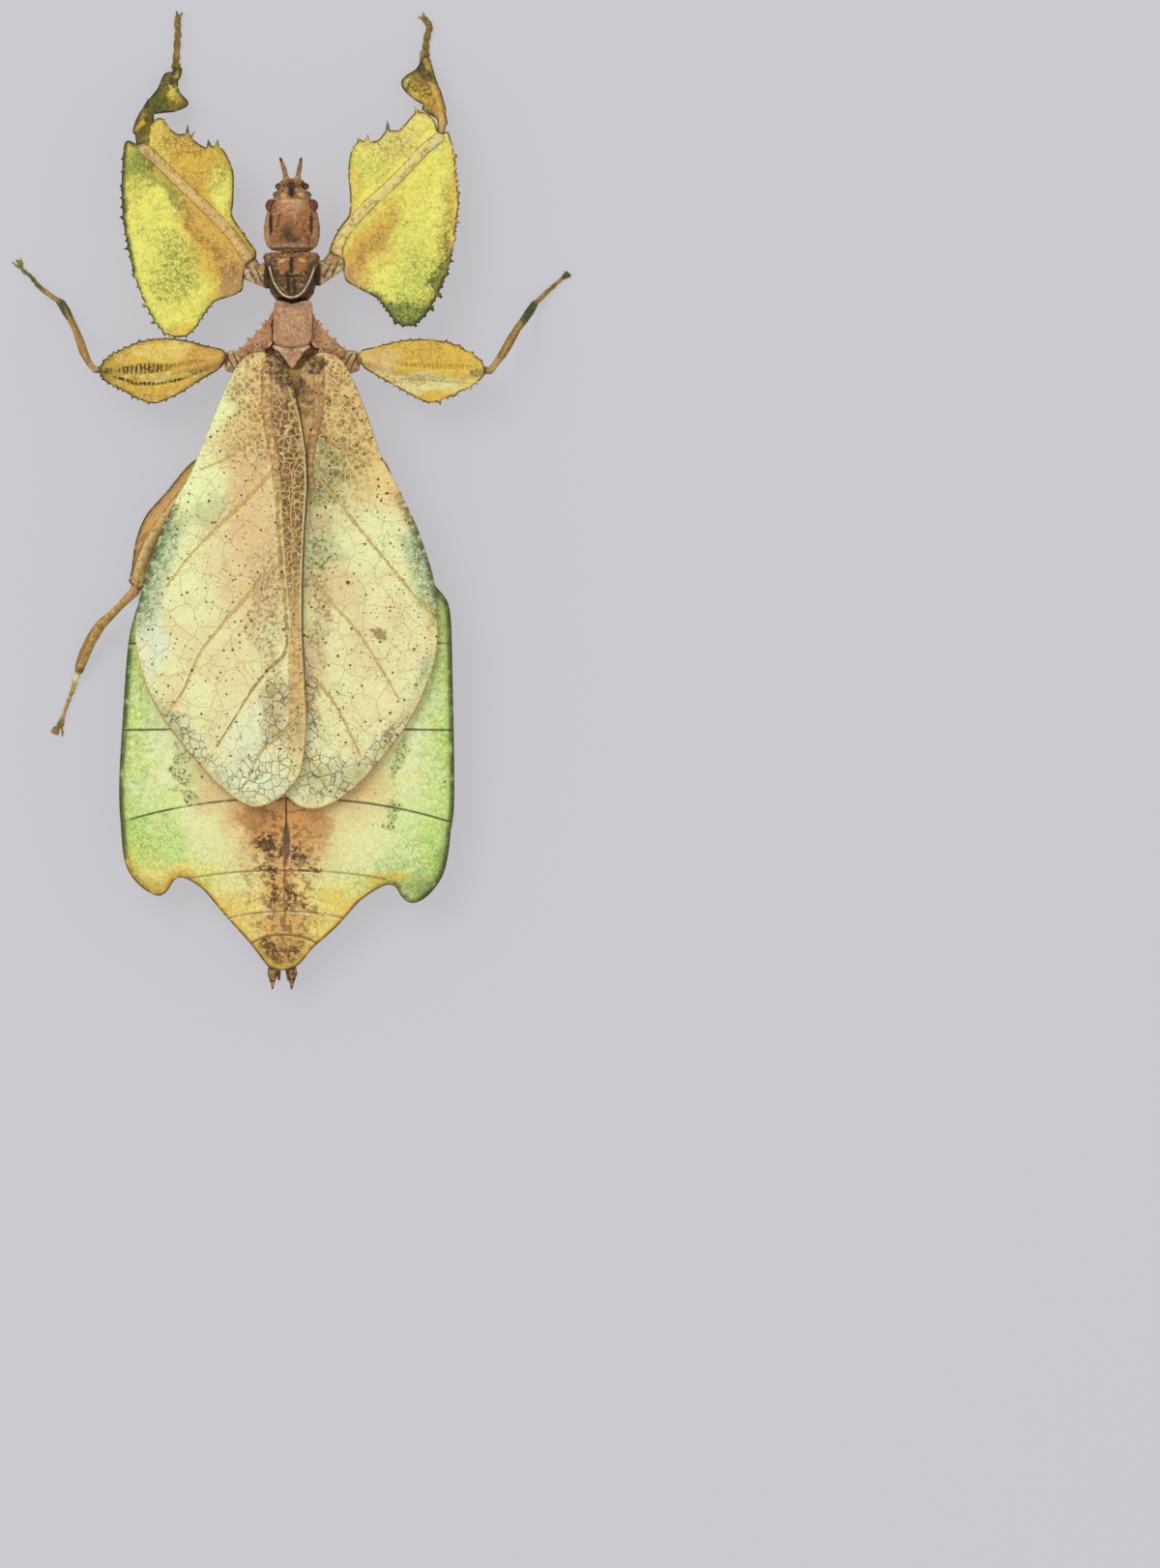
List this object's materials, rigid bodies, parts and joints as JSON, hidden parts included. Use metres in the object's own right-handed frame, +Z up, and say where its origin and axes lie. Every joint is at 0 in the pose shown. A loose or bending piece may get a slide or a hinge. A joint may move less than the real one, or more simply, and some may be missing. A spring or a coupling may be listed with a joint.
{
  "type": "leaf insect",
  "caption": "Still, life-size female leaf insect standing on its feet, with leaf-shaped fore wings over a broad flat abdomen and lobed leaf-like legs.",
  "frame": {"origin": "on the floor, under the middle of the box round the whole insect", "axes": "+Y towards the head along the body, +Z up from the floor to the back, +X towards the animal's own right side"},
  "size_m": [0.0449, 0.0778, 0.0074],
  "materials": {
    "body_skin": "satin, finely grained",
    "thorax_shield": "satin, grained",
    "dark_horn": "satin",
    "antenna": "satin",
    "eye": "glossy",
    "tail_green": "satin",
    "fore_wing": "satin, veined",
    "abdomen": "satin, finely speckled",
    "leg_joint": "satin",
    "front_femur": "satin, netted",
    "middle_femur": "satin, banded",
    "hind_femur": "satin",
    "shin": "satin",
    "foot": "satin"
  },
  "bodies": {
    "root": {"abdomen_10": "abdomen", "abdomen_2": "abdomen", "abdomen_3": "abdomen", "abdomen_4": "abdomen", "abdomen_5": "abdomen", "abdomen_6": "abdomen", "abdomen_7": "abdomen", "abdomen_8": "abdomen", "abdomen_9": "abdomen", "antenna_left": "antenna", "antenna_right": "antenna", "cercus_left": "tail_green", "cercus_right": "tail_green", "coxa_front_left": "leg_joint", "coxa_front_right": "leg_joint", "coxa_hind_left": "leg_joint", "coxa_hind_right": "leg_joint", "coxa_middle_left": "leg_joint", "coxa_middle_right": "leg_joint", "eye_left": "eye", "eye_right": "eye", "femur_front_left": "front_femur", "femur_front_right": "front_femur", "femur_hind_left": "hind_femur", "femur_hind_right": "hind_femur", "femur_middle_left": "middle_femur", "femur_middle_right": "middle_femur", "fore_wing_left": "fore_wing", "fore_wing_right": "fore_wing", "gonapophysis_left": "tail_green", "gonapophysis_right": "tail_green", "head": "body_skin", "mesonotum": "thorax_shield", "mesopleuron_left": "thorax_shield", "mesopleuron_right": "thorax_shield", "mesothorax": "body_skin", "metathorax": "body_skin", "mouthparts": "dark_horn", "pronotum": "thorax_shield", "prothorax": "body_skin", "scutellum": "thorax_shield", "subgenital_plate": "dark_horn", "tarsus_front_left": "foot", "tarsus_front_right": "foot", "tarsus_hind_left": "foot", "tarsus_hind_right": "foot", "tarsus_middle_left": "foot", "tarsus_middle_right": "foot", "tibia_front_left": "shin", "tibia_front_right": "shin", "tibia_hind_left": "shin", "tibia_hind_right": "shin", "tibia_middle_left": "shin", "tibia_middle_right": "shin"}
  },
  "joints": []
}
